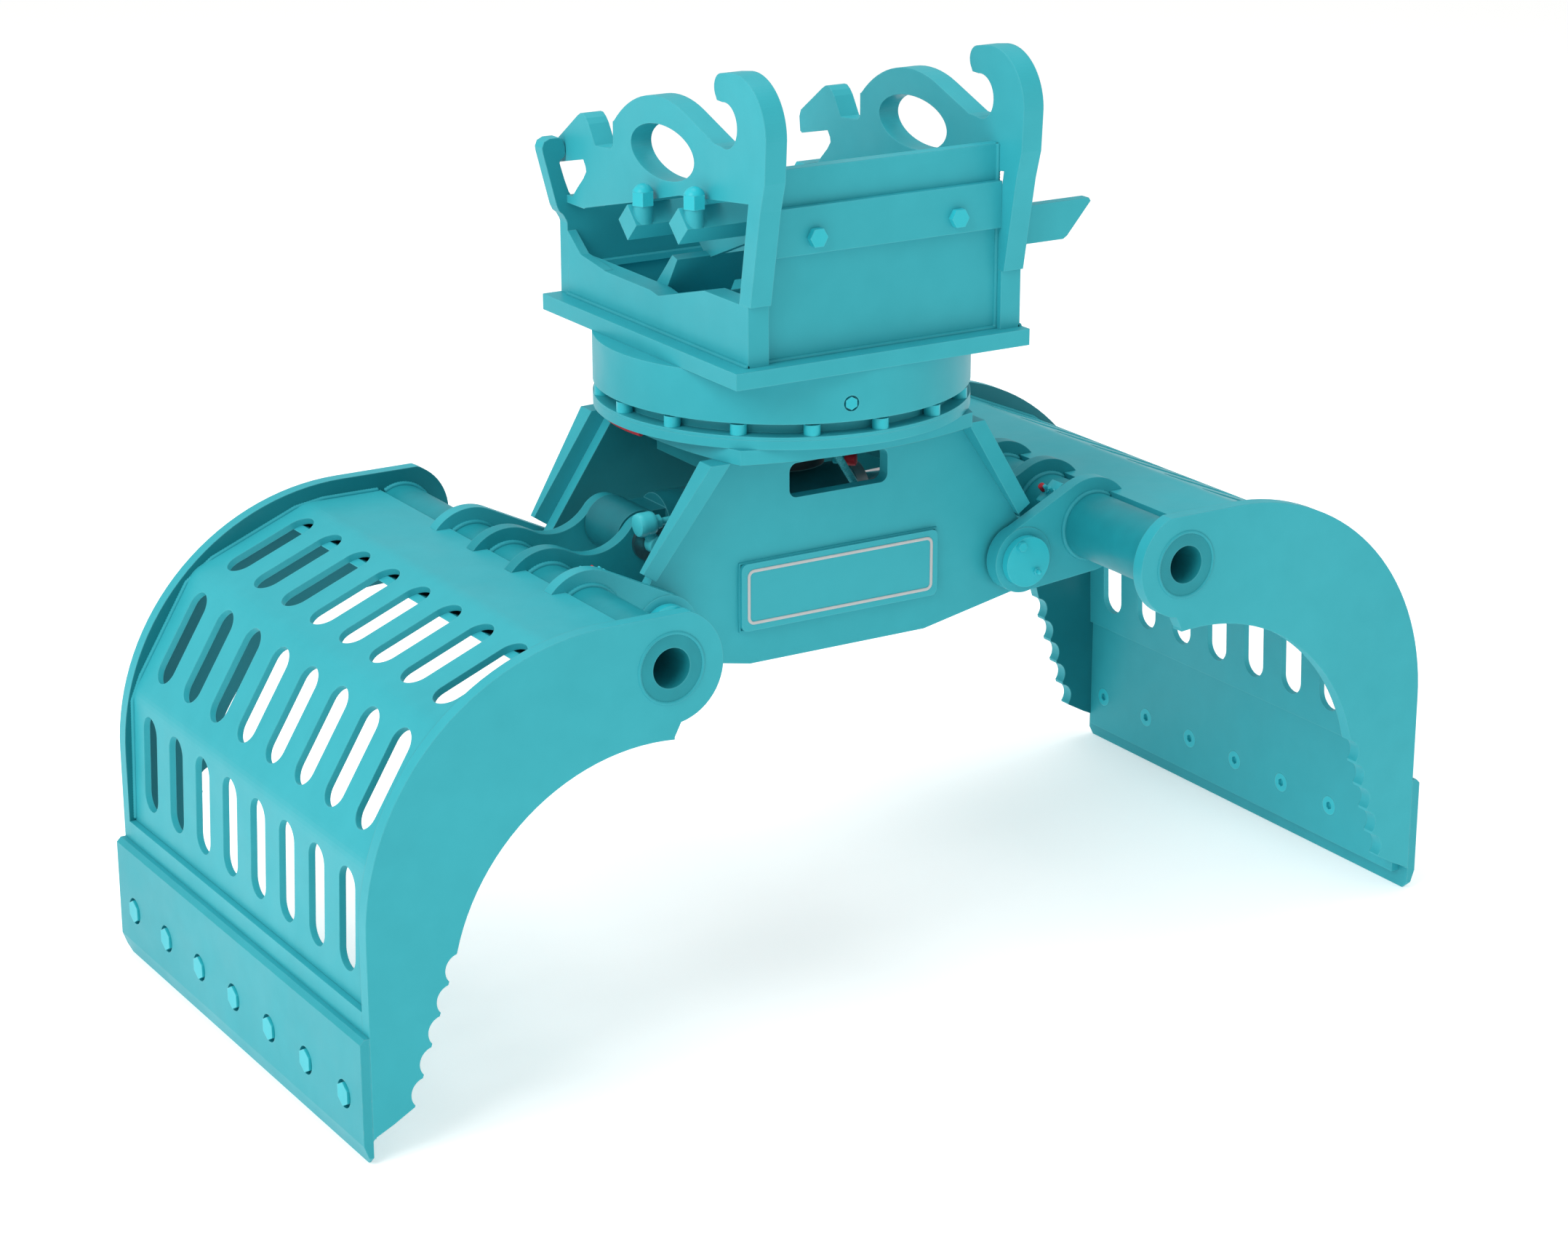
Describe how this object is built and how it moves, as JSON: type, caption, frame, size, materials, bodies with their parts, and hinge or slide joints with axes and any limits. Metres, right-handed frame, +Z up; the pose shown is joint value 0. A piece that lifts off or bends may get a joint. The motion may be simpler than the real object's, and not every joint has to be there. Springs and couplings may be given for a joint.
{
  "type": "sorting grapple",
  "caption": "Excavator sorting grapple: two slotted shells with bolted knives on a yoke that turns under a hook-on hitch head.",
  "frame": {"origin": "on the floor under the middle of the box, between the knife tips", "axes": "+X is the way the right shell opens, +Y points to the rear of the head, +Z is up"},
  "size_m": [2.1742, 1, 1.623],
  "materials": {
    "body_paint": "semi gloss teal coat over welded plate",
    "fastener_paint": "semi gloss teal coat over fasteners",
    "knife_paint": "semi gloss teal coat, rubbed at the edge",
    "plate_paint": "semi gloss teal coat with a pale border line",
    "bare_steel": "machined steel",
    "dark_paint": "matt dark coat",
    "deep_paint": "semi gloss teal coat",
    "chrome_rod": "hard chrome"
  },
  "bodies": {
    "yoke": {"ring_gear": "body_paint", "bearing_balls": "bare_steel", "ring_bolts": "fastener_paint", "yoke_ring_plate": "body_paint", "yoke_top_plate": "body_paint", "yoke_side_front": "body_paint", "yoke_side_rear": "body_paint", "yoke_columns": "body_paint", "yoke_webs": "body_paint", "yoke_bushes": "bare_steel", "nameplate": "plate_paint", "swivel_housing": "dark_paint"},
    "head": {"head_base_plate": "body_paint", "hook_plate_left": "body_paint", "hook_plate_right": "body_paint", "head_wall_left": "body_paint", "head_wall_right": "body_paint", "head_front_panel": "body_paint", "head_rear_panel": "body_paint", "head_rear_bar": "body_paint", "head_slanted_plate": "body_paint", "front_strip": "body_paint", "head_fasteners": "fastener_paint", "pointed_bar": "body_paint", "coupling_blocks": "body_paint", "coupling_caps": "fastener_paint", "rotator_housing": "body_paint", "bearing_outer_race": "bare_steel", "slew_motor": "dark_paint", "swivel_spindle": "bare_steel"},
    "slew_pinion": {"slew_pinion": "bare_steel"},
    "left_shell": {"left_side_plates": "body_paint", "left_back_plate": "body_paint", "left_torsion_tube": "body_paint", "left_outer_levers": "body_paint", "left_inner_levers": "body_paint", "left_box_plate": "body_paint", "left_blade_seat": "body_paint", "left_knife": "knife_paint", "left_knife_bolts": "fastener_paint", "left_hinge_pins": "fastener_paint", "left_pin_bolts": "fastener_paint", "left_cylinder_pin": "bare_steel"},
    "right_shell": {"right_side_plates": "body_paint", "right_back_plate": "body_paint", "right_torsion_tube": "body_paint", "right_outer_levers": "body_paint", "right_inner_levers": "body_paint", "right_box_plate": "body_paint", "right_blade_seat": "body_paint", "right_knife": "knife_paint", "right_knife_bolts": "fastener_paint", "right_hinge_pins": "fastener_paint", "right_pin_bolts": "fastener_paint", "right_cylinder_pin": "bare_steel"},
    "barrel": {"cylinder_barrel": "deep_paint", "cylinder_gland": "bare_steel", "cylinder_pipe": "deep_paint"},
    "rod": {"cylinder_rod": "chrome_rod", "cylinder_piston": "bare_steel"}
  },
  "joints": [
    {"name": "head_turn", "type": "hinge", "parent": "yoke", "child": "head", "pos_m": [0, 0, 1.06], "axis": [0, 0, 1], "continuous": true},
    {"name": "pinion_spin", "type": "hinge", "parent": "head", "child": "slew_pinion", "pos_m": [0.081, -0.1403, 1.06], "axis": [0, 0, 1], "continuous": true},
    {"name": "left_shell_close", "type": "hinge", "parent": "yoke", "child": "left_shell", "pos_m": [-0.367, 0, 0.69], "axis": [0, -1, 0], "range_deg": [0, 67.2]},
    {"name": "right_shell_close", "type": "hinge", "parent": "yoke", "child": "right_shell", "pos_m": [0.367, 0, 0.69], "axis": [0, 1, 0], "range_deg": [0, 67.2]},
    {"name": "barrel_tilt", "type": "hinge", "parent": "left_shell", "child": "barrel", "pos_m": [-0.318, 0, 0.8], "axis": [0, 1, 0], "range_deg": [0, 67.2]},
    {"name": "rod_tilt", "type": "hinge", "parent": "right_shell", "child": "rod", "pos_m": [0.318, 0, 0.8], "axis": [0, -1, 0], "range_deg": [0, 67.2]}
  ],
  "couplings": [
    {"joint": "pinion_spin", "follows": "head_turn", "ratio": -4},
    {"joint": "right_shell_close", "follows": "left_shell_close", "ratio": 1},
    {"joint": "barrel_tilt", "follows": "left_shell_close", "ratio": 1},
    {"joint": "rod_tilt", "follows": "left_shell_close", "ratio": 1}
  ]
}
